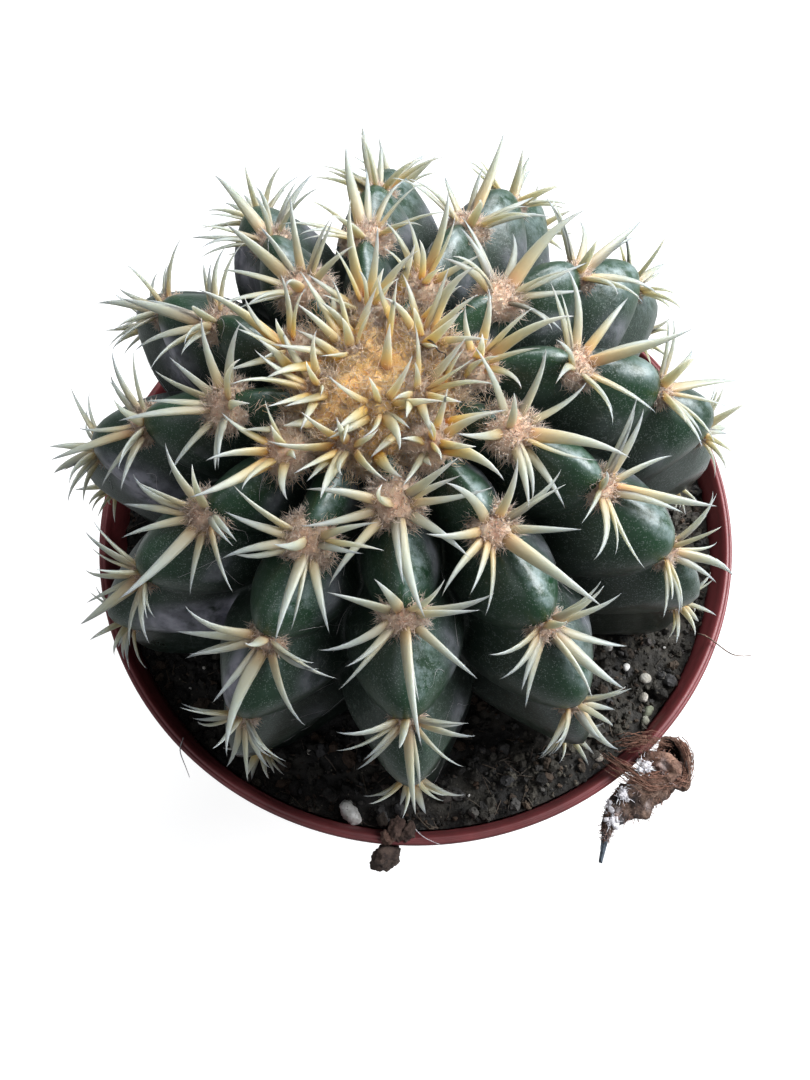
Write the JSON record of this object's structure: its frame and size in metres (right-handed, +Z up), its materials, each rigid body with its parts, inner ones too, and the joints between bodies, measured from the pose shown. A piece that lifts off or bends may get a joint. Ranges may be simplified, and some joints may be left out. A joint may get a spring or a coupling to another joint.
{
  "type": "potted echinocactus cactus",
  "caption": "Globular ribbed cactus with woolly areoles and pale dagger spines, standing in dark soil in a round terracotta-red nursery pot.",
  "frame": {"origin": "centre of the pot's flat base", "axes": "+Z up from the base to the crown, -Y towards the front of the picture, +X to its right"},
  "size_m": [0.12, 0.1245, 0.1557],
  "materials": {
    "pot": "terracotta-red plastic, satin",
    "soil": "dark peat crumbs with pale mineral grains, matt",
    "skin": "dark green waxy skin, satin, with fine pale specks",
    "wool": "ochre wool, matt",
    "spines": "ivory woody spines out of tan wool, satin",
    "dried_flower": "grey-brown felted and dry, matt"
  },
  "bodies": {
    "root": {"areole_01_1": "spines", "areole_01_2": "spines", "areole_01_3": "spines", "areole_01_4": "spines", "areole_02_1": "spines", "areole_02_2": "spines", "areole_02_3": "spines", "areole_02_4": "spines", "areole_03_1": "spines", "areole_03_2": "spines", "areole_03_3": "spines", "areole_03_4": "spines", "areole_04_1": "spines", "areole_04_2": "spines", "areole_04_3": "spines", "areole_04_4": "spines", "areole_05_1": "spines", "areole_05_2": "spines", "areole_05_3": "spines", "areole_05_4": "spines", "areole_06_1": "spines", "areole_06_2": "spines", "areole_06_3": "spines", "areole_06_4": "spines", "areole_07_1": "spines", "areole_07_2": "spines", "areole_07_3": "spines", "areole_07_4": "spines", "areole_08_1": "spines", "areole_08_2": "spines", "areole_08_3": "spines", "areole_08_4": "spines", "areole_09_1": "spines", "areole_09_2": "spines", "areole_09_3": "spines", "areole_09_4": "spines", "areole_10_1": "spines", "areole_10_2": "spines", "areole_10_3": "spines", "areole_10_4": "spines", "areole_11_1": "spines", "areole_11_2": "spines", "areole_11_3": "spines", "areole_12_1": "spines", "areole_12_2": "spines", "areole_12_3": "spines", "areole_12_4": "spines", "cactus_body": "skin", "crown": "wool", "dried_flower": "dried_flower", "pot": "pot", "soil": "soil"}
  },
  "joints": []
}
